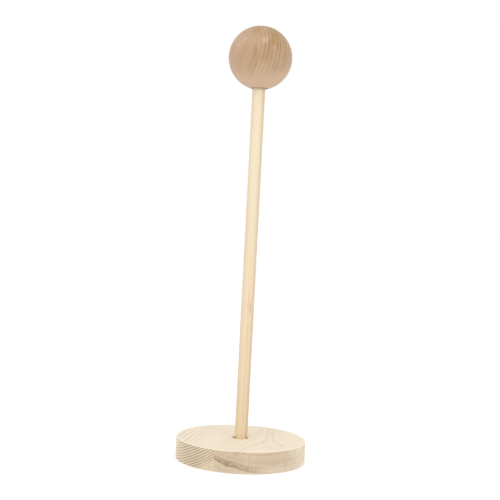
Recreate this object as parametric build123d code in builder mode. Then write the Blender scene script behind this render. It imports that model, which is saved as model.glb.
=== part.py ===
from build123d import *

import os

# Wooden wig stand: a round base, an upright post and a ball that carries the wig.
#
# The base is a disc sawn from an edge-glued pine panel, so it is two boards that meet on one
# upright glued joint. The post is a plain dowel. Its foot drops into a blind socket in the base,
# and the ball's blind socket drops over its head. Both are dry push fits, and they come apart.
#
# Millimetres. +Z is up, the origin is the centre of the underside, and the front faces -Y.

# Base
BASE_DIAMETER = 120.0
BASE_THICKNESS = 20.0
BASE_EDGE_ROUND = 0.8
# The glued joint lies this far from the centre, to the left, and is turned this far
# clockwise, seen from above, from the line that runs straight back.
GLUE_JOINT_OFFSET = 10.4
GLUE_JOINT_TURN = 12.0  # degrees

# Post
POST_DIAMETER = 12.0
POST_LENGTH = 365.0
POST_END_CHAMFER = 1.0

# Ball
BALL_DIAMETER = 58.5

# Sockets. The base's depth counts from its top face, and the ball's from where the lowest
# point of the ball was before it was drilled.
SOCKET_CLEARANCE = 0.2  # between the post and the wall, on the radius
BASE_SOCKET_DEPTH = 15.0
BALL_SOCKET_DEPTH = 28.0
SOCKET_COUNTERSINK = 0.8
# The drill's centre point leaves a small cone in the floor of each socket.
DRILL_POINT_DIAMETER = 3.0
DRILL_POINT_DEPTH = 1.5

# Radii and heights that follow from the sizes above
BASE_RADIUS = BASE_DIAMETER / 2
POST_RADIUS = POST_DIAMETER / 2
BALL_RADIUS = BALL_DIAMETER / 2
SOCKET_RADIUS = POST_RADIUS + SOCKET_CLEARANCE
SOCKET_MOUTH_RADIUS = SOCKET_RADIUS + SOCKET_COUNTERSINK
DRILL_POINT_RADIUS = DRILL_POINT_DIAMETER / 2
POST_FOOT_HEIGHT = BASE_THICKNESS - BASE_SOCKET_DEPTH
POST_HEAD_HEIGHT = POST_FOOT_HEIGHT + POST_LENGTH
BALL_LOW_POINT = POST_HEAD_HEIGHT - BALL_SOCKET_DEPTH
BALL_CENTRE_HEIGHT = BALL_LOW_POINT + BALL_RADIUS
# The round mouth cuts a shallow cap off the ball, and the countersink starts at its rim.
BALL_MOUTH_HEIGHT = BALL_CENTRE_HEIGHT - (BALL_RADIUS**2 - SOCKET_MOUTH_RADIUS**2) ** 0.5

# The upright plane of the glued joint. It faces right, so the right board is on its top side.
GLUE_JOINT = Plane.YZ.rotated((0, 0, -GLUE_JOINT_TURN)).offset(-GLUE_JOINT_OFFSET)

# Half sections of the two sockets, from the centre line outwards
with BuildSketch(Plane.XZ) as base_socket:
    with BuildLine():
        Polyline(
            (0, POST_FOOT_HEIGHT - DRILL_POINT_DEPTH),
            (DRILL_POINT_RADIUS, POST_FOOT_HEIGHT),
            (SOCKET_RADIUS, POST_FOOT_HEIGHT),
            (SOCKET_RADIUS, BASE_THICKNESS - SOCKET_COUNTERSINK),
            (SOCKET_MOUTH_RADIUS, BASE_THICKNESS),
            (0, BASE_THICKNESS),
            close=True,
        )
    make_face()

with BuildSketch(Plane.XZ) as ball_socket:
    with BuildLine():
        Polyline(
            (0, POST_HEAD_HEIGHT + DRILL_POINT_DEPTH),
            (DRILL_POINT_RADIUS, POST_HEAD_HEIGHT),
            (SOCKET_RADIUS, POST_HEAD_HEIGHT),
            (SOCKET_RADIUS, BALL_MOUTH_HEIGHT + SOCKET_COUNTERSINK),
            (SOCKET_MOUTH_RADIUS, BALL_MOUTH_HEIGHT),
            (SOCKET_MOUTH_RADIUS, BALL_LOW_POINT),
            (0, BALL_LOW_POINT),
            close=True,
        )
    make_face()

# The whole disc, drilled, before it is told apart into its two boards
with BuildPart() as base_disc:
    with BuildSketch(Plane.XY):
        Circle(BASE_RADIUS)
    extrude(amount=BASE_THICKNESS)
    fillet(base_disc.edges().filter_by(GeomType.CIRCLE), BASE_EDGE_ROUND)
    revolve(base_socket.sketch, axis=Axis.Z, mode=Mode.SUBTRACT)

with BuildPart() as base_board_left:
    add(base_disc.part)
    split(bisect_by=GLUE_JOINT, keep=Keep.BOTTOM)

with BuildPart() as base_board_right:
    add(base_disc.part)
    split(bisect_by=GLUE_JOINT, keep=Keep.TOP)

with BuildPart() as post:
    with BuildSketch(Plane.XY.offset(POST_FOOT_HEIGHT)):
        Circle(POST_RADIUS)
    extrude(amount=POST_LENGTH)
    chamfer(post.edges().filter_by(GeomType.CIRCLE), POST_END_CHAMFER)

with BuildPart() as ball:
    with BuildSketch(Plane.XZ):
        with BuildLine():
            CenterArc((0, BALL_CENTRE_HEIGHT), BALL_RADIUS, -90, 180)
            Line((0, BALL_CENTRE_HEIGHT - BALL_RADIUS), (0, BALL_CENTRE_HEIGHT + BALL_RADIUS))
        make_face()
    revolve(axis=Axis.Z)
    revolve(ball_socket.sketch, axis=Axis.Z, mode=Mode.SUBTRACT)

base_board_left.part.label = "base_board_left"
base_board_right.part.label = "base_board_right"
post.part.label = "post"
ball.part.label = "ball"

os.makedirs("parts", exist_ok=True)
export_step(base_board_left.part, "parts/base_board_left.step")
export_step(base_board_right.part, "parts/base_board_right.step")
export_step(post.part, "parts/post.step")
export_step(ball.part, "parts/ball.step")
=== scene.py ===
"""The looks of a wooden wig stand: a pine base of two glued boards, a dowel post and a turned ball.

Every piece is a solid of revolution about Z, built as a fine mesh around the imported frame, with
the marks of the saw, the drill and use cut into it. The base is then cut in two on its glued
joint. The materials are solid wood: growth rings round the line of the tree's heart, so a ring
that shows on a top face runs on down its side.

The pieces are worked out in millimetres, in the frame's own axes, and their finished meshes are
in metres, as the camera, the lights and the floor are. Colours are linear.
"""

import math

import bmesh
import bpy
import numpy as np
from mathutils import Euler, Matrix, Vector


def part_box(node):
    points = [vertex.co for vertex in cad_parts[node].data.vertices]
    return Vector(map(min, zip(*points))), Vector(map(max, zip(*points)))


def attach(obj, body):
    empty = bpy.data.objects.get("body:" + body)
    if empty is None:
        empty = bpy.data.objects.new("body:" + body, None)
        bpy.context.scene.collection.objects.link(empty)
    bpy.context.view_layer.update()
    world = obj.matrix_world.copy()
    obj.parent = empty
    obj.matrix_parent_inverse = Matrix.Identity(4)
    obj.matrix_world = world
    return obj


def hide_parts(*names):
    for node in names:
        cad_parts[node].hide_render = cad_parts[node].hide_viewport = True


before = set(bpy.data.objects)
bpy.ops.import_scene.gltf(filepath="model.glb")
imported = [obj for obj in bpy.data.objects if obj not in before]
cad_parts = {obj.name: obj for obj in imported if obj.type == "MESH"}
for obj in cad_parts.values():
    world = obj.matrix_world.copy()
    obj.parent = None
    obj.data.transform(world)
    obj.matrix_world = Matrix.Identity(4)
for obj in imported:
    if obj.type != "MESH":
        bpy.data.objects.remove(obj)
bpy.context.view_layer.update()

MM = 0.001


def corners(node):
    """A node's lowest and highest corners at rest, in millimetres."""
    return [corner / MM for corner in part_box(node)]


# Sizes read from the frame
left_low = corners("base_board_left")[0]
right_low, right_high = corners("base_board_right")
post_low, post_high = corners("post")
ball_low, ball_high = corners("ball")
BASE_RADIUS = min(right_high.x, right_high.y, -right_low.y, -left_low.x)
BASE_THICKNESS = right_high.z
POST_RADIUS = min(post_high.x, post_high.y)
POST_FOOT = post_low.z
POST_HEAD = post_high.z
BALL_RADIUS = min(ball_high.x, ball_high.y)
BALL_CENTRE = ball_high.z - BALL_RADIUS
BALL_MOUTH_HEIGHT = ball_low.z

# Sizes that a box can't give, as in the part's own source
BASE_EDGE_ROUND = 0.8
SOCKET_RADIUS = 6.2
COUNTERSINK = 0.8
MOUTH_RADIUS = SOCKET_RADIUS + COUNTERSINK
DRILL_POINT_RADIUS = 1.5
DRILL_POINT_DEPTH = 1.5
POST_CHAMFER = 1.0
GLUE_JOINT_OFFSET = 10.4
GLUE_JOINT_TURN = math.radians(12.0)

# How many points go round each piece
BASE_AROUND = 640
POST_AROUND = 192
BALL_AROUND = 320

# Edges that turn by more than this are drawn sharp
SHARP_ANGLE = math.radians(32)

# The photograph's view of the stand, solved from its outlines
CAMERA_PLACE = (0.0, -1.0080, 0.2311)
CAMERA_TILT = math.radians(2.077)
CAMERA_PAN = math.radians(-0.03)
CAMERA_ROLL = math.radians(2.947)
CAMERA_LENS = 78.6
CAMERA_SENSOR = 36.0


# Noise and dents, worked out on arrays of points in millimetres


def lattice(cells, seed):
    """A repeatable value from -1 to 1 for each point of a whole-numbered lattice.

    The large numbers only stir the bits.
    """
    x, y, z = np.moveaxis(cells.astype(np.int64), -1, 0)
    mixed = (x * 374761393 + y * 668265263 + z * 1274126177 + seed * 974634777) & 0xFFFFFFFF
    mixed = ((mixed ^ (mixed >> 13)) * 1103515245) & 0xFFFFFFFF
    mixed = ((mixed ^ (mixed >> 16)) * 1540483477) & 0xFFFFFFFF
    return (mixed ^ (mixed >> 15)) / 0x7FFFFFFF - 1.0


def noise(points, cell, seed):
    """Smooth noise from -1 to 1; cell is the size of its features along X, Y and Z."""
    scaled = points / np.asarray(cell, float)
    corner = np.floor(scaled)
    share = scaled - corner
    share = share**3 * (share * (share * 6 - 15) + 10)
    total = np.zeros(len(points))
    for step in np.ndindex(2, 2, 2):
        weight = np.where(step, share, 1 - share).prod(axis=1)
        total += weight * lattice(corner + step, seed)
    return total


def uneven(points, layers):
    """Layers of noise added up, each given by the size of its features, its depth and its seed."""
    return sum(noise(points, cell, seed) * depth for cell, depth, seed in layers)


def smooth(value, low, high):
    """0 below low, 1 above high and an even curve between; low may be the larger."""
    share = np.clip((value - low) / (high - low), 0, 1)
    return share * share * (3 - 2 * share)


def dent(points, centre, reach, depth):
    """A round dent: how deep it is at each point."""
    away = np.linalg.norm(points - np.asarray(centre, float), axis=1) / reach
    return depth * np.exp(-(away**2))


def about_axis(radius, turn, height):
    """A place by its distance from the axis, its angle round it and its height."""
    return (radius * math.cos(turn), radius * math.sin(turn), height)


# Outlines, as (radius, height) points from the axis and back to it


def straight(start, end, step):
    """Points about a step apart along a straight line, without its last one."""
    start, end = np.array(start, float), np.array(end, float)
    count = max(1, round(np.linalg.norm(end - start) / step))
    return [start + (end - start) * i / count for i in range(count)]


def bend(centre, radius, start, end, count):
    """Points along an arc from one angle to another, in degrees, without its last one."""
    angles = np.radians(np.linspace(start, end, count, endpoint=False))
    return [np.array(centre) + radius * np.array([math.cos(a), math.sin(a)]) for a in angles]


def lathe(outline, around):
    """A solid of revolution: its points, their outward normals and its faces."""
    outline = np.array(outline)
    along = np.gradient(outline, axis=0)
    along /= np.linalg.norm(along, axis=1)[:, None]
    outward = np.c_[along[:, 1], -along[:, 0]]
    outward[0] = (0, np.sign(outward[0, 1]))
    outward[-1] = (0, np.sign(outward[-1, 1]))
    turn = np.linspace(0, 2 * math.pi, around, endpoint=False)
    circle = np.c_[np.cos(turn), np.sin(turn)]

    def swept(rows):
        """The first and last rows as one point each, and the others as rings."""
        middle = rows[1:-1]
        flat = (middle[:, None, :1] * circle).reshape(-1, 2)
        turned = np.c_[flat, np.repeat(middle[:, 1], around)]
        return np.vstack([[(0, 0, rows[0, 1])], turned, [(0, 0, rows[-1, 1])]])

    rings = len(outline) - 2
    last = rings * around + 1
    faces = []
    for i in range(around):
        j = (i + 1) % around
        faces.append((0, 1 + j, 1 + i))
        for ring in range(rings - 1):
            low = 1 + ring * around
            high = low + around
            faces.append((low + i, low + j, high + j, high + i))
        top = 1 + (rings - 1) * around
        faces.append((top + i, top + j, last))
    return swept(outline), swept(outward), faces


def worn_mesh(name, outline, around, wear):
    """A turned mesh in metres, each point of which lies below the plain surface by its wear."""
    points, normals, faces = lathe(outline, around)
    points = points - normals * wear(points, normals)[:, None]
    mesh = bpy.data.meshes.new(name)
    mesh.from_pydata(points * MM, [], faces)
    mesh.update()
    return mesh


def finish_piece(mesh, body, node, material):
    """Shades the mesh, puts it in the scene and sets it in the place of its CAD node."""
    mesh.shade_smooth()
    mesh.set_sharp_from_angle(angle=SHARP_ANGLE)
    mesh.materials.append(material)
    piece = bpy.data.objects.new(mesh.name, mesh)
    bpy.context.scene.collection.objects.link(piece)
    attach(piece, body)
    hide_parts(node)


# The base

# The points of the top stand closer together within each of these radii
TOP_CLOSER = 14.0
TOP_CLOSEST = 10.5

# Unevenness of the rim, the flat faces and the rubbed edges
SAW_MARKS = (((0.9, 0.9, 30), 0.028, 11), ((3.5, 3.5, 60), 0.04, 12))
SANDED_FACE = (((9, 24, 9), 0.05, 13), ((2.2, 12, 9), 0.015, 14))
RUBBED_EDGE = (((5, 5, 9), 0.12, 15), ((1.3, 1.3, 9), 0.07, 16))

# How much is gone on average from the outer faces, the rubbed edges and the glued joint's edges
BASE_SANDED = 0.08
BASE_EDGE_RUBBED = 0.16
BASE_JOINT_EASED = 0.07

# Edges are rubbed beyond the first radius, and fully beyond the second, so not in the socket
RUBBED_FROM = 50
RUBBED_FULLY = 58

# Knocks at random on both edges and on the top
BASE_SEED = 7
EDGE_KNOCKS = 22
EDGE_KNOCK_DROP = 0.3
TOP_KNOCKS = 10
TOP_KNOCKS_FROM = 14
TOP_KNOCKS_TO = 56

# Chips in the socket's mouth: the way each faces, its half width in degrees, how far it
# reaches past the countersink and how deep it is
MOUTH_CHIPS = (
    (176, 30, 1.7, 1.1),
    (212, 16, 1.2, 0.7),
    (258, 11, 0.6, 0.4),
    (284, 8, 0.4, 0.4),
    (338, 14, 0.8, 0.6),
    (80, 16, 0.5, 0.4),
    (140, 10, 0.6, 0.4),
)
CHIP_RAGGED = (((0.7, 0.7, 5), 0.25, 31),)
CHIP_SLOPE = 0.7

# Chips along the front of the top edge: how far across each is, its reach and its depth
EDGE_CHIPS = (
    (-20.5, 1.2, 0.45),
    (-17.8, 1.6, 0.62),
    (-14.6, 1.0, 0.4),
    (-10.9, 1.5, 0.55),
    (-6.4, 0.9, 0.5),
    (-3.3, 1.2, 0.42),
    (1.4, 1.0, 0.5),
    (5.2, 1.4, 0.42),
    (9.7, 0.8, 0.3),
    (13.8, 1.0, 0.34),
)
EDGE_CHIP_DROP = 0.2

PIN_KNOT_ACROSS = -1.6
PIN_KNOT_HEIGHT = 17.9


def base_outline():
    """From the centre of the underside, round the rim and over the top into the socket."""
    edge = BASE_EDGE_ROUND
    rim = BASE_RADIUS
    top = BASE_THICKNESS
    countersunk = top - COUNTERSINK
    return [
        *straight((0, 0), (rim - edge, 0), step=4.5),
        *bend((rim - edge, edge), edge, -90, 0, count=6),
        *straight((rim, edge), (rim, top - edge), step=0.55),
        *bend((rim - edge, top - edge), edge, 0, 90, count=7),
        *straight((rim - edge, top), (TOP_CLOSER, top), step=1.0),
        *straight((TOP_CLOSER, top), (TOP_CLOSEST, top), step=0.5),
        *straight((TOP_CLOSEST, top), (MOUTH_RADIUS, top), step=0.22),
        *straight((MOUTH_RADIUS, top), (SOCKET_RADIUS, countersunk), step=0.2),
        *straight((SOCKET_RADIUS, countersunk), (SOCKET_RADIUS, POST_FOOT), step=1.0),
        *straight((SOCKET_RADIUS, POST_FOOT), (DRILL_POINT_RADIUS, POST_FOOT), step=1.2),
        *straight((DRILL_POINT_RADIUS, POST_FOOT), (0, POST_FOOT - DRILL_POINT_DEPTH), step=0.5),
        np.array((0, POST_FOOT - DRILL_POINT_DEPTH)),
    ]


def mouth_chips(points):
    """How much has broken out round the socket's mouth."""
    radius = np.hypot(points[:, 0], points[:, 1])
    turn = np.degrees(np.arctan2(points[:, 1], points[:, 0]))
    ragged = uneven(points, CHIP_RAGGED)
    near_top = smooth(points[:, 2], BASE_THICKNESS - 2.5, BASE_THICKNESS - 0.9)
    total = np.zeros(len(points))
    for facing, half_width, reach, depth in MOUTH_CHIPS:
        off = np.abs((turn - facing + 180) % 360 - 180) / half_width
        edge = MOUTH_RADIUS + reach * np.sqrt(np.clip(1 - off**2, 0, 1)) + ragged
        total = np.maximum(total, depth * smooth(radius, edge, edge - CHIP_SLOPE) * (off < 1))
    return total * near_top


def base_dents(points):
    """Random knocks, the chips of the front edge and the hollow round the knot."""
    rng = np.random.default_rng(BASE_SEED)
    depth = np.zeros(len(points))
    for _ in range(EDGE_KNOCKS):
        turn = rng.uniform(0, 2 * math.pi)
        height = rng.choice((EDGE_KNOCK_DROP, BASE_THICKNESS - EDGE_KNOCK_DROP))
        place = about_axis(BASE_RADIUS, turn, height)
        depth += dent(points, place, rng.uniform(0.5, 1.1), rng.uniform(0.1, 0.34))
    for _ in range(TOP_KNOCKS):
        turn, away = rng.uniform(0, 2 * math.pi), rng.uniform(TOP_KNOCKS_FROM, TOP_KNOCKS_TO)
        place = about_axis(away, turn, BASE_THICKNESS)
        depth += dent(points, place, rng.uniform(0.9, 1.8), rng.uniform(0.05, 0.14))
    for across, reach, deep in EDGE_CHIPS:
        back = math.sqrt(BASE_RADIUS**2 - across**2)
        depth += dent(points, (across, -back, BASE_THICKNESS - EDGE_CHIP_DROP), reach, deep)
    knot = (PIN_KNOT_ACROSS, -BASE_RADIUS, PIN_KNOT_HEIGHT)
    return depth + dent(points, knot, 1.5, 0.16) - dent(points, knot, 0.7, 0.12)


def base_wear(points, normals):
    """How far each point of the base lies below the plain turned surface."""
    side = np.hypot(normals[:, 0], normals[:, 1])
    up = np.abs(normals[:, 2])
    radius = np.hypot(points[:, 0], points[:, 1])
    outside = smooth(radius, SOCKET_RADIUS + 0.5, SOCKET_RADIUS + 1.5)
    on_edge = np.clip(side * up * 2, 0, 1) * smooth(radius, RUBBED_FROM, RUBBED_FULLY)
    face_wear = BASE_SANDED + side * uneven(points, SAW_MARKS) + up * uneven(points, SANDED_FACE)
    edge_wear = BASE_EDGE_RUBBED + uneven(points, RUBBED_EDGE)
    depth = outside * face_wear + on_edge * edge_wear + base_dents(points)
    return np.maximum(depth, 0) + mouth_chips(points)


def base_board(disc, node, side, material):
    """One board: the disc cut on the glued joint, whose edges are eased a little."""
    across = Vector((math.cos(GLUE_JOINT_TURN), -math.sin(GLUE_JOINT_TURN), 0))
    work = bmesh.new()
    work.from_mesh(disc)
    bmesh.ops.bisect_plane(
        work,
        geom=[*work.verts, *work.edges, *work.faces],
        plane_co=across * -GLUE_JOINT_OFFSET * MM,
        plane_no=across * side,
        clear_inner=True,
    )
    cut = [e for e in work.edges if e.is_boundary]
    work.normal_update()
    for v in {v for e in cut for v in e.verts}:
        v.co -= v.normal * BASE_JOINT_EASED * MM
    bmesh.ops.edgeloop_fill(work, edges=cut)
    bmesh.ops.recalc_face_normals(work, faces=work.faces)
    mesh = bpy.data.meshes.new(f"{node}_wood")
    work.to_mesh(mesh)
    work.free()
    finish_piece(mesh, "base", node, material)


def base():
    """The two boards, cut from one worn disc."""
    disc = worn_mesh("base_disc", base_outline(), BASE_AROUND, base_wear)
    left = pine("pine_left", LEFT_FIBRE_TURN, close_rings, CLOSE_END_GRAIN)
    right = pine("pine_right", RIGHT_FIBRE_TURN, wide_rings, WIDE_END_GRAIN)
    base_board(disc, "base_board_left", -1, left)
    base_board(disc, "base_board_right", 1, right)
    bpy.data.meshes.remove(disc)


# The post

# Unevenness of its side and its ends
POST_SIDE = (((0.5, 0.5, 34), 0.022, 21), ((1.6, 1.6, 90), 0.03, 22), ((9, 9, 120), 0.045, 23))
POST_END = (((0.4, 3, 9), 0.03, 24),)
POST_SANDED = 0.1
POST_END_SANDED = 0.03

POST_SEED = 19
POST_KNOCKS = 16
POST_KNOCKS_FROM = POST_FOOT + 18
POST_KNOCKS_TO = POST_HEAD - 30


def post_outline():
    """From the foot's centre up to the head's, with both chamfers."""
    inner = POST_RADIUS - POST_CHAMFER
    low = POST_FOOT + POST_CHAMFER
    high = POST_HEAD - POST_CHAMFER
    return [
        *straight((0, POST_FOOT), (inner, POST_FOOT), step=1.0),
        *straight((inner, POST_FOOT), (POST_RADIUS, low), step=0.5),
        *straight((POST_RADIUS, low), (POST_RADIUS, high), step=1.6),
        *straight((POST_RADIUS, high), (inner, POST_HEAD), step=0.5),
        *straight((inner, POST_HEAD), (0, POST_HEAD), step=1.0),
        np.array((0, POST_HEAD)),
    ]


def post_wear(points, normals):
    """How far each point of the post lies below the plain dowel."""
    rng = np.random.default_rng(POST_SEED)
    side = np.hypot(normals[:, 0], normals[:, 1])
    depth = side * (POST_SANDED + uneven(points, POST_SIDE))
    depth += (1 - side) * (POST_END_SANDED + uneven(points, POST_END))
    for _ in range(POST_KNOCKS):
        turn, height = rng.uniform(0, 2 * math.pi), rng.uniform(POST_KNOCKS_FROM, POST_KNOCKS_TO)
        place = about_axis(POST_RADIUS, turn, height)
        depth += dent(points, place, rng.uniform(0.6, 1.5), rng.uniform(0.06, 0.16))
    return np.maximum(depth, 0)


def post():
    """The dowel."""
    mesh = worn_mesh("post_wood", post_outline(), POST_AROUND, post_wear)
    finish_piece(mesh, "post", "post", dowel_wood())


# The ball

BALL_UNEVEN = (((21, 21, 21), 0.06, 41), ((5, 5, 5), 0.02, 42))
BALL_SANDED = 0.1
BALL_RINGS = 150

BALL_SEED = 43
BALL_KNOCKS = 26

# A chip in the rim of the socket, on its right
BALL_CHIP = (7.6, -1.5, BALL_MOUTH_HEIGHT)
BALL_CHIP_REACH = 2.4
BALL_CHIP_DEPTH = 1.5


def ball_outline():
    """From the top of the socket down to its mouth, then over the ball to its crown."""
    mouth_angle = math.degrees(math.asin(MOUTH_RADIUS / BALL_RADIUS)) - 90
    mouth_height = BALL_CENTRE - math.sqrt(BALL_RADIUS**2 - MOUTH_RADIUS**2)
    countersunk = mouth_height + COUNTERSINK
    return [
        *straight((0, POST_HEAD + DRILL_POINT_DEPTH), (DRILL_POINT_RADIUS, POST_HEAD), step=0.5),
        *straight((DRILL_POINT_RADIUS, POST_HEAD), (SOCKET_RADIUS, POST_HEAD), step=1.2),
        *straight((SOCKET_RADIUS, POST_HEAD), (SOCKET_RADIUS, countersunk), step=1.2),
        *straight((SOCKET_RADIUS, countersunk), (MOUTH_RADIUS, mouth_height), step=0.25),
        *bend((0, BALL_CENTRE), BALL_RADIUS, mouth_angle, 90, count=BALL_RINGS),
        np.array((0, BALL_CENTRE + BALL_RADIUS)),
    ]


def ball_wear(points, normals):
    """How far each point of the ball lies below the true sphere."""
    rng = np.random.default_rng(BALL_SEED)
    centre = np.array((0, 0, BALL_CENTRE))
    from_centre = np.linalg.norm(points - centre, axis=1)
    outside = smooth(from_centre, BALL_RADIUS - 0.9, BALL_RADIUS - 0.1)
    depth = outside * (BALL_SANDED + uneven(points, BALL_UNEVEN))
    depth += dent(points, BALL_CHIP, BALL_CHIP_REACH, BALL_CHIP_DEPTH)
    for _ in range(BALL_KNOCKS):
        way = rng.normal(size=3)
        place = centre + way / np.linalg.norm(way) * BALL_RADIUS
        depth += outside * dent(points, place, rng.uniform(0.6, 1.6), rng.uniform(0.05, 0.16))
    return np.maximum(depth, 0)


def ball():
    """The turned ball, with its blind socket."""
    mesh = worn_mesh("ball_wood", ball_outline(), BALL_AROUND, ball_wear)
    finish_piece(mesh, "ball", "ball", beech())


# Materials

WOOD_SPECULAR = 0.35


def grey(level):
    """A grey of the given level."""
    return (level, level, level, 1)


class Wood:
    """Builds the nodes of one wood. Any input may be a number, a colour or another's output.

    place is where each point of the surface is, in millimetres, and facing is which way it faces.
    Both stay with the piece when it moves.
    """

    def __init__(self, name):
        self.material = bpy.data.materials.new(name)
        self.material.use_nodes = True
        self.tree = self.material.node_tree
        self.shader = self.tree.nodes["Principled BSDF"]
        coordinates = self.node("ShaderNodeTexCoord").outputs
        self.place = self.moved(coordinates["Object"], scale=(1 / MM,) * 3)
        self.facing = coordinates["Normal"]

    def node(self, kind, **settings):
        """A new node with the given settings."""
        made = self.tree.nodes.new(kind)
        for name, value in settings.items():
            setattr(made, name, value)
        return made

    def feed(self, socket, value):
        """Links the socket to an output, or gives it a constant."""
        if isinstance(value, bpy.types.NodeSocket):
            self.tree.links.new(value, socket)
        elif value is not None:
            socket.default_value = value

    def math(self, operation, a, b=None, c=None, clamp=False):
        """One step of arithmetic on numbers."""
        made = self.node("ShaderNodeMath", operation=operation, use_clamp=clamp)
        for socket, value in zip(made.inputs, (a, b, c)):
            self.feed(socket, value)
        return made.outputs[0]

    def times(self, value, *others):
        """All the values multiplied."""
        for other in others:
            value = self.math("MULTIPLY", value, other)
        return value

    def plus(self, value, *others):
        """All the values added."""
        for other in others:
            value = self.math("ADD", value, other)
        return value

    def minus(self, a, b):
        """The first value less the second."""
        return self.math("SUBTRACT", a, b)

    def scaled(self, value, factor, added):
        """The value times a factor, with another value added."""
        return self.math("MULTIPLY_ADD", value, factor, added)

    def distance(self, across, up):
        """How far away a point is, given how far it is along two axes."""
        squares = self.plus(self.math("POWER", across, 2.0), self.math("POWER", up, 2.0))
        return self.math("SQRT", squares)

    def between(self, value, low, high, to_low=0.0, to_high=1.0):
        """Goes smoothly from to_low to to_high as the value goes from low to high."""
        made = self.node("ShaderNodeMapRange", interpolation_type="SMOOTHSTEP")
        for socket, setting in zip(made.inputs, (value, low, high, to_low, to_high)):
            self.feed(socket, setting)
        return made.outputs[0]

    def ramp(self, value, stops):
        """A grey level for each value from 0 to 1, by stops of (value, level)."""
        made = self.node("ShaderNodeValToRGB")
        elements = made.color_ramp.elements
        while len(elements) < len(stops):
            elements.new(1.0)
        for element, (position, level) in zip(elements, stops):
            element.position = position
            element.color = grey(level)
        self.feed(made.inputs[0], value)
        return made.outputs[0]

    def vector(self, operation, a, b=None, scale=None):
        """One step of arithmetic on vectors."""
        made = self.node("ShaderNodeVectorMath", operation=operation)
        self.feed(made.inputs[0], a)
        self.feed(made.inputs[1], b)
        self.feed(made.inputs[3], scale)
        return made.outputs[1 if operation in ("LENGTH", "DOT_PRODUCT") else 0]

    def moved(self, vector, turn=(0, 0, 0), shift=(0, 0, 0), scale=(1, 1, 1)):
        """The vector scaled, then turned, then shifted."""
        made = self.node("ShaderNodeMapping")
        self.feed(made.inputs["Vector"], vector)
        made.inputs["Rotation"].default_value = turn
        made.inputs["Location"].default_value = shift
        made.inputs["Scale"].default_value = scale
        return made.outputs[0]

    def parts(self, vector):
        """The X, Y and Z of a vector."""
        made = self.node("ShaderNodeSeparateXYZ")
        self.feed(made.inputs[0], vector)
        return made.outputs["X"], made.outputs["Y"], made.outputs["Z"]

    def noise(self, vector, cell, detail=2.0, rough=0.5, colour=False):
        """Noise about 0.5 with features of the given size along each axis, in millimetres."""
        made = self.node("ShaderNodeTexNoise")
        self.feed(made.inputs["Vector"], self.moved(vector, scale=[1 / c for c in cell]))
        made.inputs["Scale"].default_value = 1.0
        made.inputs["Detail"].default_value = detail
        made.inputs["Roughness"].default_value = rough
        return made.outputs["Color" if colour else "Fac"]

    def noise_along(self, value, cell, detail=1.0):
        """Noise that changes only with one number, such as the distance from the heart."""
        line = self.vector("SCALE", (1, 1, 1), scale=value)
        return self.noise(line, (cell, cell, cell), detail=detail)

    def strayed(self, place, reach):
        """The place, shifted a little by slow noise and less by quicker noise."""
        for cell, share in (((40, 200, 40), 1.0), ((7, 50, 7), 0.2)):
            noise = self.noise(place, cell, detail=1.0, colour=True)
            shift = self.vector("SUBTRACT", noise, (0.5, 0.5, 0.5))
            place = self.vector("ADD", place, self.vector("SCALE", shift, scale=reach * share))
        return place

    def blend_number(self, share, a, b):
        """Mixes two numbers."""
        made = self.node("ShaderNodeMix", data_type="FLOAT")
        self.feed(made.inputs[0], share)
        self.feed(made.inputs[2], a)
        self.feed(made.inputs[3], b)
        return made.outputs[0]

    def blend(self, share, a, b, mode="MIX"):
        """Mixes two colours."""
        made = self.node("ShaderNodeMix", data_type="RGBA", blend_type=mode)
        self.feed(made.inputs[0], share)
        self.feed(made.inputs[6], a)
        self.feed(made.inputs[7], b)
        return made.outputs[2]

    def toned(self, colour, tone):
        """The colour multiplied by a tone, which may be a number or a colour."""
        return self.blend(1.0, colour, tone, mode="MULTIPLY")

    def marked(self, colour, place, marks):
        """The colour with soft marks, each full at its centre and gone at its reach."""
        for centre, reach, tint, strength in marks:
            away = self.vector("DIVIDE", self.vector("SUBTRACT", place, centre), reach)
            share = self.between(self.vector("LENGTH", away), 1.0, 0.15)
            colour = self.blend(self.times(share, strength), colour, tint)
        return colour

    def finish(self, colour, roughness, height, relief):
        """Feeds the shader; relief is how far the height stands up, in millimetres."""
        self.feed(self.shader.inputs["Base Color"], colour)
        self.feed(self.shader.inputs["Roughness"], roughness)
        self.shader.inputs["Specular IOR Level"].default_value = WOOD_SPECULAR
        bump = self.node("ShaderNodeBump")
        bump.inputs["Distance"].default_value = relief * MM
        self.feed(bump.inputs["Height"], height)
        self.feed(self.shader.inputs["Normal"], bump.outputs[0])
        return self.material


# The base's pine

LEFT_FIBRE_TURN = math.radians(12)
RIGHT_FIBRE_TURN = math.radians(2)
PINE_RELIEF = 0.05

EARLY_WOOD = (0.90, 0.785, 0.62, 1)
LATE_WOOD = (0.50, 0.375, 0.255, 1)
# How much darker the ends of the fibres look on each board
CLOSE_END_GRAIN = (0.84, 0.80, 0.74, 1)
WIDE_END_GRAIN = (0.77, 0.71, 0.65, 1)
SAP_WOOD = (0.88, 0.78, 0.66, 1)
# A painted highlight along the rim's top and bottom edges
ARRIS_HIGHLIGHT = (0.98, 0.845, 0.66, 1)
# Painted shade in the chips and the countersink round the socket's mouth
MOUTH_SHADE_WOOD = (0.62, 0.46, 0.30, 1)


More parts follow.
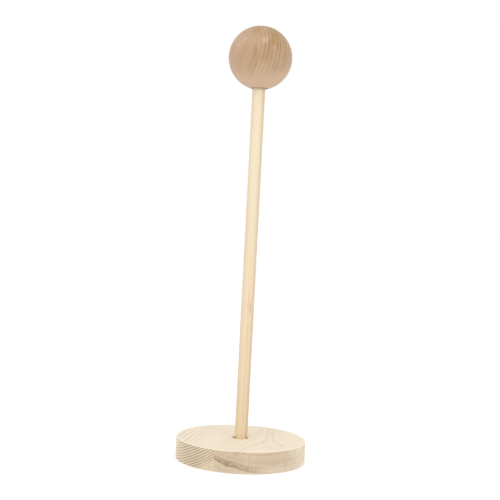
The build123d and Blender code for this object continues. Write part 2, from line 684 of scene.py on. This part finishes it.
def pine(name, fibre_turn, rings, end_grain_tint):
    """Raw sanded pine, whose fibres run back along Y once it is turned by fibre_turn.

    rings works out how much dark late wood there is at each place, given the place and how far
    the face is the top or the underside.
    """
    wood = Wood(name)
    place = wood.moved(wood.place, turn=(0, 0, fibre_turn))
    _, facing_y, facing_z = wood.parts(wood.moved(wood.facing, turn=(0, 0, fibre_turn)))
    end_grain = wood.between(wood.math("ABSOLUTE", facing_y), 0.25, 0.85)
    flat_face = wood.between(wood.math("ABSOLUTE", facing_z), 0.5, 0.95)
    patchy = wood.between(wood.noise(place, (14, 70, 14)), 0.2, 0.7, 0.7, 1.1)
    fainter_on_flat = wood.scaled(flat_face, -0.56, 1.0)
    late = wood.times(rings(wood, place, flat_face), patchy, fainter_on_flat)
    fibres = wood.noise(place, (0.35, 16, 0.35), detail=2.5, rough=0.6)
    speckle = wood.noise(place, (0.22, 0.9, 0.22), rough=0.6)

    colour = wood.blend(late, EARLY_WOOD, LATE_WOOD)
    colour = wood.blend(end_grain, colour, wood.toned(colour, end_grain_tint))
    colour = wood.blend(wood.times(sap_share(wood), end_grain), colour, SAP_WOOD)
    # Painted highlight on the rim's rounded edges
    colour = wood.blend(arris_highlight_share(wood, late), colour, ARRIS_HIGHLIGHT)
    # Painted shade in the socket's mouth
    colour = wood.blend(mouth_shade_share(wood), colour, MOUTH_SHADE_WOOD)
    colour = wood.toned(colour, pine_tone(wood, place, flat_face, fibres, speckle))

    roughness = wood.scaled(speckle, 0.08, wood.scaled(late, -0.14, 0.66))
    height = wood.plus(wood.times(late, 0.5), wood.times(fibres, 0.7), wood.times(speckle, 0.5))
    return wood.finish(colour, roughness, height, PINE_RELIEF)


def pine_tone(wood, place, flat_face, fibres, speckle):
    """The fine light and dark of the fibres, the resin, the board as a whole and the saw."""
    broad = wood.noise(place, (22, 110, 22), detail=1.0)
    resin = wood.between(wood.noise(place, (0.7, 7, 0.7), detail=0.0), 0.66, 0.8)
    saw = wood.noise(wood.place, (1.0, 1.0, 34), detail=2.5, rough=0.6)
    saw_on_rim = wood.times(wood.minus(saw, 0.5), wood.minus(1.0, flat_face))
    return wood.times(
        wood.scaled(fibres, 0.14, 0.93),
        wood.scaled(speckle, 0.06, 0.97),
        wood.scaled(broad, 0.10, 0.95),
        wood.scaled(resin, -0.05, 1.0),
        wood.scaled(saw_on_rim, 0.3, 1.0),
    )


def sap_share(wood):
    """Where the paler sap wood is, low down on the right."""
    x, _, z = wood.parts(wood.place)
    towards_right = wood.between(x, 4, 24, 0.0, 0.32)
    low_down = wood.between(z, 7.5, 2.5)
    return wood.times(towards_right, low_down)


def arris_highlight_share(wood, late):
    """A painted highlight along the rim's two rounded edges, fainter across the dark late wood."""
    x, y, z = wood.parts(wood.place)
    outer = wood.between(wood.distance(x, y), BASE_RADIUS - 2.6, BASE_RADIUS - 0.6)
    above = wood.between(z, BASE_THICKNESS - 1.1, BASE_THICKNESS - 0.4, 0.0, 0.8)
    below = wood.between(z, 1.8, 0.3, 0.0, 0.5)
    return wood.times(outer, wood.plus(above, below), wood.scaled(late, -0.75, 1.0))


def mouth_shade_share(wood):
    """Painted shade: where the chips and the countersink round the socket's mouth lie below the
    top.
    """
    x, y, z = wood.parts(wood.place)
    near_mouth = wood.between(wood.distance(x, y), MOUTH_RADIUS + 2.4, MOUTH_RADIUS + 0.2)
    below_top = wood.between(z, BASE_THICKNESS - 0.12, BASE_THICKNESS - 0.6)
    return wood.times(near_mouth, below_top, 0.55)


# The left board's rings, about a heart far above it and to its left. Those past the end are faint.
CLOSE_HEART = (-112.0, 166.0)
CLOSE_RING_WIDTH = 2.2
CLOSE_RING_START = 158.2
CLOSE_RINGS_END = 186.0
CLOSE_RING = ((0, 0.0), (0.4, 0.06), (0.56, 0.5), (0.68, 1.0), (0.88, 1.0), (1.0, 0.0))


def close_rings(wood, place, flat_face):
    """Close, even rings on the rim, which show on the flat faces mainly at the left."""
    x, y, z = wood.parts(wood.strayed(place, 1.6))
    heart_x, heart_z = CLOSE_HEART
    from_heart = wood.distance(wood.minus(x, heart_x), wood.minus(z, heart_z))
    count = wood.math("DIVIDE", wood.minus(from_heart, CLOSE_RING_START), CLOSE_RING_WIDTH)
    count = wood.plus(count, wood.times(wood.noise_along(from_heart, 9), 0.45))
    late = wood.ramp(wood.math("FRACT", count), CLOSE_RING)
    at_left = wood.times(wood.between(x, -44, -24, 0.85, 0.08), wood.between(y, -15, 25, 1.0, 0.4))
    each = wood.between(wood.noise_along(from_heart, 1.9, detail=0.0), 0.3, 0.7, 0.72, 1.1)
    return wood.times(
        late,
        wood.blend_number(flat_face, 1.0, at_left),
        each,
        wood.between(x, -56, -38, 0.9, 1.15),
        wood.between(from_heart, CLOSE_RINGS_END - 1.5, CLOSE_RINGS_END + 1.5, 1.0, 0.2),
    )


# The right board's rings, about a heart high above it. The dark wood of each goes from its inner
# edge to its sharp outer edge, and is this dark at each.
WIDE_HEART = (32.0, 114.0)
WIDE_RINGS = (
    (95.2, 95.7, 0.1, 0.45),
    (96.5, 97.4, 0.2, 0.85),
    (98.4, 99.1, 0.05, 0.4),
    (99.4, 107.6, 0.1, 0.34),
    (110.2, 111.9, 0.45, 1.0),
    (112.1, 115.4, 0.66, 1.0),
    (119.4, 120.3, 0.1, 0.4),
)
WIDE_RINGS_FROM = 92.0
WIDE_RINGS_TO = 124.0
WIDE_RING_EDGE = 0.25

# Near the top the heart lies further left, and it rises towards the back. A ridge this wide runs
# back under it and lifts the rings beside it, which draws a pointed arch on the top face.
TOP_HEART_LEFT = 5.0
TOP_HEART_RISE = 2.5
TOP_HEART_RISE_FROM = -54.0
TOP_HEART_RISE_OVER = 22.0
RIDGE_WIDTH = 3.2
RIDGE_LIFT = 2.0


def wide_stops():
    """The wide rings as stops of a ramp."""
    span = WIDE_RINGS_TO - WIDE_RINGS_FROM
    stops = [(WIDE_RINGS_FROM, 0.0)]
    for inner, outer, dark_inside, dark_outside in WIDE_RINGS:
        stops += [(inner, dark_inside), (outer, dark_outside), (outer + WIDE_RING_EDGE, 0.0)]
    return [((away - WIDE_RINGS_FROM) / span, level) for away, level in stops]


def from_wide_heart(wood, x, y, z):
    """How far each place is from the right board's heart, with all its bends."""
    heart_x, heart_z = WIDE_HEART
    near_top = wood.between(z, 9, 19)
    how_far_back = wood.minus(y, TOP_HEART_RISE_FROM)
    still_to_rise = wood.math("EXPONENT", wood.math("DIVIDE", how_far_back, -TOP_HEART_RISE_OVER))
    rise = wood.times(wood.minus(1.0, still_to_rise), TOP_HEART_RISE)
    across = wood.minus(wood.scaled(near_top, TOP_HEART_LEFT, x), heart_x)
    below = wood.minus(wood.scaled(near_top, rise, heart_z), z)
    off_ridge = wood.times(wood.math("POWER", across, 2.0), -1 / (2 * RIDGE_WIDTH**2))
    beside_ridge = wood.minus(1.0, wood.math("EXPONENT", off_ridge))
    ridge = wood.times(beside_ridge, wood.between(y, -50, 15, 0.0, RIDGE_LIFT))
    # Lower down, the rings dip towards the glued joint
    dip = wood.times(wood.between(x, -11, -2, -0.4, 1.4), wood.minus(1.0, near_top))
    return wood.plus(wood.scaled(ridge, near_top, wood.distance(across, below)), dip)


def wide_rings(wood, place, flat_face):
    """A few wide rings and a pin knot."""
    x, y, z = wood.parts(wood.strayed(place, 0.8))
    away = wood.minus(from_wide_heart(wood, x, y, z), WIDE_RINGS_FROM)
    share = wood.math("DIVIDE", away, WIDE_RINGS_TO - WIDE_RINGS_FROM, clamp=True)
    low_right = wood.times(wood.between(x, 8, 34), wood.between(z, 9, 4.5))
    top_right = wood.times(flat_face, wood.between(x, 36, 43))
    late = wood.times(
        wood.ramp(share, wide_stops()),
        wood.scaled(low_right, -0.8, 1.0),
        wood.between(x, -3, 7, 1.0, 0.7),
        wood.between(x, 12, 22, 1.0, 1.3),
        wood.between(wood.noise(place, (5, 60, 3.5), detail=1.0), 0.3, 0.7, 0.7, 1.2),
        wood.scaled(top_right, -0.75, 1.0),
    )
    return wood.math("MAXIMUM", late, pin_knot(wood, x, y, z))


def pin_knot(wood, x, y, z):
    """The dark ring of a small knot that runs out through the front of the rim."""
    across = wood.minus(x, PIN_KNOT_ACROSS)
    up = wood.times(wood.minus(z, PIN_KNOT_HEIGHT), 1.5)
    ragged = wood.minus(wood.noise(wood.place, (0.9, 0.9, 0.9)), 0.5)
    away = wood.scaled(ragged, 2.6, wood.distance(across, up))
    ring = wood.times(wood.between(away, 0.8, 1.6), wood.between(away, 3.3, 2.0))
    at_front = wood.between(y, -44, -50)
    return wood.times(ring, 0.65, at_front)


# The post's dowel

POST_PALE = (0.87, 0.735, 0.535, 1)
POST_TAN = (0.83, 0.66, 0.445, 1)
# The colour of browner streaks, also used to paint shade on the dowel's sides and under the ball
POST_STREAK_AND_SHADE = (0.60, 0.43, 0.26, 1)
# Marks that run along the dowel: where, how far they reach, their colour and strength
POST_MARKS = (
    ((0.4, -6.0, 148.0), (1.1, 2.0, 19.0), (0.82, 0.50, 0.32, 1), 0.55),
    ((2.6, -5.4, 142.0), (1.2, 2.0, 10.0), (0.58, 0.38, 0.17, 1), 0.6),
    ((0.9, -6.0, 118.0), (0.6, 2.0, 13.0), (0.62, 0.40, 0.18, 1), 0.45),
    # The next two are painted shade on the dowel's foot, left and right, where it goes into the
    # base
    ((-4.6, -3.9, 20.4), (2.0, 3.0, 1.5), (0.26, 0.15, 0.07, 1), 0.5),
    ((5.0, -3.3, 21.0), (1.2, 2.6, 2.2), (0.26, 0.15, 0.07, 1), 0.5),
    ((1.7, -5.8, 39.0), (0.4, 1.5, 6.0), (0.50, 0.30, 0.15, 1), 0.5),
    ((4.2, -4.3, 38.0), (0.4, 1.5, 7.0), (0.50, 0.30, 0.15, 1), 0.5),
    ((4.4, -4.1, 24.0), (2.4, 2.5, 11.0), (0.68, 0.42, 0.22, 1), 0.4),
    ((0.8, -6.0, 23.0), (0.4, 1.5, 4.0), (0.50, 0.28, 0.13, 1), 0.6),
    ((3.6, -4.8, 23.0), (0.4, 1.5, 4.0), (0.50, 0.28, 0.13, 1), 0.6),
)
POST_ROUGHNESS = 0.6
POST_RELIEF = 0.05


def dowel_wood():
    """A pale straight-grained dowel, browner towards its foot, with painted shade down its left and
    right sides and a browner streak on its right.
    """
    wood = Wood("dowel_wood")
    x, _, z = wood.parts(wood.place)
    slow = wood.noise(wood.place, (5, 5, 90))
    streak = wood.noise(wood.place, (1.5, 1.5, 150), detail=3.0, rough=0.62)
    fibres = wood.noise(wood.place, (0.28, 0.28, 14), detail=2.5, rough=0.6)
    streaks = wood.between(streak, 0.5, 0.74, 0.0, 0.55)
    streaks = wood.times(streaks, wood.between(slow, 0.35, 0.65, 0.35, 1.0))
    # Painted shade darkens the dowel's left and right sides; on the right it also stands for a
    # browner streak
    right_streak_and_shade = wood.between(x, 1.5, 6.0, 0.0, 0.45)
    left_painted_shade = wood.between(x, -3.5, -6.0, 0.0, 0.25)
    colour = wood.blend(wood.between(z, 20, 300, 1.0, 0.0), POST_PALE, POST_TAN)
    colour = wood.blend(wood.plus(streaks, right_streak_and_shade, left_painted_shade), colour, POST_STREAK_AND_SHADE)
    colour = wood.marked(colour, wood.place, POST_MARKS)
    # Painted shade on the dowel just under the ball's socket
    colour = wood.blend(neck_shade_share(wood, z), colour, POST_STREAK_AND_SHADE)
    colour = wood.toned(colour, wood.scaled(fibres, 0.14, 0.93))
    height = wood.scaled(streak, 0.4, fibres)
    return wood.finish(colour, POST_ROUGHNESS, height, POST_RELIEF)


def neck_shade_share(wood, z):
    """Painted shade: a narrow band of the dowel just below the rim of the ball's socket, faint up
    inside it.
    """
    mouth = BALL_MOUTH_HEIGHT
    below_rim = wood.between(z, mouth - 2.5, mouth - 0.3, 0.0, 0.4)
    within = wood.between(z, mouth + 5.0, mouth, 0.1, 1.0)
    return wood.times(below_rim, within)


# The ball's beech

BALL_PALE = (0.63, 0.445, 0.305, 1)
BALL_DARK = (0.36, 0.21, 0.09, 1)
# Painted shade on the ball round its socket's mouth, where it meets the post
BALL_MOUTH_SHADE = (0.20, 0.12, 0.05, 1)
BALL_RING_WIDTH = 3.6
BALL_RING = ((0, 0.0), (0.3, 0.2), (0.6, 0.85), (0.82, 1.0), (1.0, 0.0))
BALL_TURN = Euler((0, math.radians(-9), math.radians(-11)))
# How far to the right of the ball's centre the heart of its tree is
BALL_HEART = 90.0
# Small stains on the ball, measured from its centre: where, their reach, colour and strength
BALL_MARKS = (
    ((3.3, -26.0, 12.9), (4.8, 6.0, 6.0), (0.72, 0.53, 0.40, 1), 0.45),
    ((12.3, -22.8, 13.4), (4.4, 6.0, 6.4), (0.48, 0.32, 0.12, 1), 0.55),
    ((12.0, -25.7, 7.0), (3.8, 5.0, 4.6), (0.74, 0.49, 0.36, 1), 0.32),
    ((-4.8, -28.7, 1.5), (3.8, 8.0, 11.0), (0.38, 0.23, 0.11, 1), 0.65),
    ((2.5, -29.0, -3.0), (6.0, 8.0, 6.0), (0.42, 0.27, 0.12, 1), 0.4),
    ((14.0, -24.0, -9.5), (4.6, 8.0, 7.0), (0.44, 0.28, 0.15, 1), 0.35),
    ((-14.5, -21.6, 13.2), (4.8, 5.0, 3.4), (0.72, 0.55, 0.42, 1), 0.25),
    ((-17.2, -20.6, 11.6), (2.6, 4.0, 2.8), (0.48, 0.34, 0.22, 1), 0.3),
    ((-20.4, -19.4, 7.8), (2.2, 3.0, 4.2), (0.68, 0.50, 0.38, 1), 0.3),
    ((-19.0, -11.0, -19.0), (3.2, 4.0, 6.5), (0.72, 0.53, 0.41, 1), 0.5),
)
BALL_ROUGHNESS = 0.52
BALL_RELIEF = 0.03


def beech():
    """Fine-sanded beech: soft bands of growth, and the short dashes of its rays."""
    wood = Wood("beech")
    level = wood.moved(wood.place, shift=(0, 0, -BALL_CENTRE))
    place = wood.moved(level, turn=BALL_TURN)
    level_x, level_y, level_z = wood.parts(level)
    x, y, _ = wood.parts(wood.strayed(place, 4.0))
    across = wood.minus(BALL_HEART, wood.distance(wood.minus(BALL_HEART, x), y))
    band = beech_band(wood, place, across, level_z)
    fibres = wood.noise(place, (0.25, 0.25, 7), detail=2.5, rough=0.6)

    colour = wood.blend(beech_dark(wood, place, across, level_z, band), BALL_PALE, BALL_DARK)
    colour = wood.marked(colour, level, BALL_MARKS)
    # Painted shade on the underside round the socket's mouth
    rim = wood.between(wood.distance(level_x, level_y), MOUTH_RADIUS + 3.2, MOUTH_RADIUS)
    rim = wood.times(rim, wood.between(level_z, 0.0, -1.0), 0.6)
    colour = wood.blend(rim, colour, BALL_MOUTH_SHADE)
    colour = wood.toned(colour, wood.scaled(fibres, 0.16, 0.92))
    height = wood.scaled(band, 0.3, fibres)
    return wood.finish(colour, BALL_ROUGHNESS, height, BALL_RELIEF)


def beech_band(wood, place, across, level_z):
    """How strong the bands of growth are, faint at the left and low down."""
    count = wood.scaled(across, 1 / BALL_RING_WIDTH, wood.times(wood.noise_along(across, 7), 1.1))
    band = wood.ramp(wood.math("FRACT", count), BALL_RING)
    fine = wood.minus(wood.noise_along(across, 0.9), 0.5)
    return wood.times(
        wood.scaled(fine, 0.5, band),
        wood.between(wood.noise(place, (9, 9, 22)), 0.3, 0.7, 0.35, 1.1),
        wood.between(across, -18, -7, 0.2, 1.0),
        wood.between(level_z, -24, -4, 0.3, 1.0),
    )


def beech_dark(wood, place, across, level_z, band):
    """How dark the wood is: its bands, its rays, a darker middle, and a paler underside, which is
    painted light from the floor.
    """
    rays = wood.between(wood.noise(place, (0.4, 0.4, 2.2), detail=1.0), 0.6, 0.72)
    middle = wood.times(
        wood.between(across, -28, -20, 0.7, 1.0),
        wood.between(across, 24, 6, 0.15, 1.0),
        wood.between(level_z, -28, 0, 0.1, 1.0),
    )
    # Painted light: the underside is made paler as if lit from the floor below
    underside = wood.between(level_z, -29, -12, -0.2, 0.0)
    dark = wood.plus(wood.times(band, 0.46), wood.times(rays, 0.22), wood.times(middle, 0.44))
    broad = wood.between(wood.noise(place, (16, 16, 40), detail=1.0), 0.3, 0.7, -0.08, 0.12)
    return wood.math("ADD", wood.plus(dark, underside), broad, clamp=True)


# The studio

# The world's light from the sides, and how much more comes from the front and from above
WORLD_LIGHT = 0.82
WORLD_FRONT = 0.06
WORLD_ABOVE = 0.10
FLOOR_HALF_WIDTH = 40.0
FLOOR_GREY = 0.97
FLOOR_LIFT = 0.16
LIGHTS_AIM = (0, 0, 0.1)


def seen_directly(tree):
    """1 for rays that show the background itself: the camera's, reflected and refracted ones."""
    path = tree.nodes.new("ShaderNodeLightPath")
    found = path.outputs["Is Camera Ray"]
    for name in ("Is Glossy Ray", "Is Transmission Ray"):
        either = tree.nodes.new("ShaderNodeMath")
        either.operation = "MAXIMUM"
        tree.links.new(found, either.inputs[0])
        tree.links.new(path.outputs[name], either.inputs[1])
        found = either.outputs[0]
    return found


def white_world():
    """Plain soft light from all round. Seen directly it is white."""
    world = bpy.data.worlds.new("studio")
    bpy.context.scene.world = world
    world.use_nodes = True
    tree = world.node_tree
    place = tree.nodes.new("ShaderNodeTexCoord")
    toward = tree.nodes.new("ShaderNodeVectorMath")
    toward.operation = "DOT_PRODUCT"
    toward.inputs[1].default_value = (0, -WORLD_FRONT, WORLD_ABOVE)
    tree.links.new(place.outputs["Generated"], toward.inputs[0])
    light = tree.nodes.new("ShaderNodeMath")
    light.operation = "ADD"
    light.inputs[1].default_value = WORLD_LIGHT
    tree.links.new(toward.outputs["Value"], light.inputs[0])
    strength = tree.nodes.new("ShaderNodeMapRange")
    strength.inputs["To Max"].default_value = 1.0
    tree.links.new(light.outputs[0], strength.inputs["To Min"])
    tree.links.new(seen_directly(tree), strength.inputs["Value"])
    background = tree.nodes["Background"]
    background.inputs["Color"].default_value = grey(1)
    tree.links.new(strength.outputs[0], background.inputs["Strength"])


def white_floor():
    """A wide pale floor. Seen directly it is lifted to white where nothing shades it."""
    material = bpy.data.materials.new("floor")
    material.use_nodes = True
    tree = material.node_tree
    shader = tree.nodes["Principled BSDF"]
    shader.inputs["Base Color"].default_value = grey(FLOOR_GREY)
    shader.inputs["Roughness"].default_value = 0.9
    shader.inputs["Specular IOR Level"].default_value = 0.1
    shader.inputs["Emission Color"].default_value = grey(1)
    lift = tree.nodes.new("ShaderNodeMath")
    lift.operation = "MULTIPLY"
    lift.inputs[1].default_value = FLOOR_LIFT
    tree.links.new(seen_directly(tree), lift.inputs[0])
    tree.links.new(lift.outputs[0], shader.inputs["Emission Strength"])
    mesh = bpy.data.meshes.new("floor")
    half = FLOOR_HALF_WIDTH
    square = [(-half, -half, 0), (half, -half, 0), (half, half, 0), (-half, half, 0)]
    mesh.from_pydata(square, [], [(0, 1, 2, 3)])
    mesh.materials.append(material)
    floor = bpy.data.objects.new("floor", mesh)
    bpy.context.scene.collection.objects.link(floor)


def soft_light(name, place, size, watts):
    """A square lamp that faces the stand."""
    lamp = bpy.data.lights.new(name, "AREA")
    lamp.shape = "SQUARE"
    lamp.size = size
    lamp.energy = watts
    light = bpy.data.objects.new(name, lamp)
    light.location = place
    aim = Vector(LIGHTS_AIM) - Vector(place)
    light.rotation_euler = aim.to_track_quat("-Z", "Y").to_euler()
    bpy.context.scene.collection.objects.link(light)


def camera():
    """The photograph's camera."""
    lens = bpy.data.cameras.new("camera")
    lens.lens = CAMERA_LENS
    lens.sensor_width = CAMERA_SENSOR
    lens.clip_start = 0.01
    seen = bpy.data.objects.new("camera", lens)
    seen.location = CAMERA_PLACE
    level = Euler((math.pi / 2 - CAMERA_TILT, 0, -CAMERA_PAN)).to_matrix()
    roll = Euler((0, 0, CAMERA_ROLL)).to_matrix()
    seen.rotation_euler = (level @ roll).to_euler()
    bpy.context.scene.collection.objects.link(seen)
    bpy.context.scene.camera = seen


def main():
    """Makes the stand and the studio."""
    base()
    post()
    ball()
    white_world()
    white_floor()
    soft_light("key", (-0.5, -0.8, 1.1), size=0.6, watts=2.2)
    soft_light("second", (0.6, -0.85, 0.9), size=0.3, watts=1.4)
    camera()
    bpy.context.scene.view_settings.view_transform = "Standard"


main()
